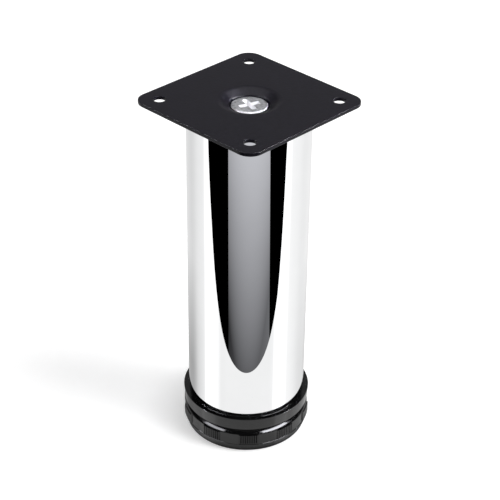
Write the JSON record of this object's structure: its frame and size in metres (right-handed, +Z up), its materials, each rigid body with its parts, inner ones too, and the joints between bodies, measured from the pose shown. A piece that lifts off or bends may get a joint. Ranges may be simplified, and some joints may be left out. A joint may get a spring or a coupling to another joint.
{
  "type": "furniture leg",
  "caption": "Round chromed tube leg with a square screw-on mounting plate on top and a knurled foot at the bottom that screws in and out to level the furniture.",
  "frame": {"origin": "on the floor under the middle of the foot", "axes": "+Z up along the tube to the mounting plate, X and Y along the plate's sides"},
  "size_m": [0.065, 0.065, 0.1551],
  "materials": {
    "coated_plate": "satin black powder coat",
    "zinc_screw": "bright zinc plated",
    "zinc_nut": "zinc plated",
    "zinc_stud": "zinc plated",
    "chromed_tube": "polished chrome",
    "black_plastic": "smooth moulded",
    "foot_plastic": "smooth moulded, knurled grip"
  },
  "bodies": {
    "leg": {"mounting_plate": "coated_plate", "plate_screw": "zinc_screw", "top_plug": "black_plastic", "top_nut": "zinc_nut", "leg_tube": "chromed_tube", "base_plug": "black_plastic", "base_nut": "zinc_nut"},
    "stud": {"foot_stud": "zinc_stud"},
    "foot": {"adjusting_foot": "foot_plastic"}
  },
  "joints": [
    {"name": "foot_travel", "type": "slide", "parent": "leg", "child": "stud", "axis": [0, 0, -1], "range_m": [0, 0.015]},
    {"name": "foot_turn", "type": "hinge", "parent": "stud", "child": "foot", "pos_m": [0, 0, 0], "axis": [0, 0, -1], "range_deg": [0, 3600]}
  ],
  "couplings": [
    {"joint": "foot_travel", "follows": "foot_turn", "m_per_rad": 0.00023873}
  ]
}
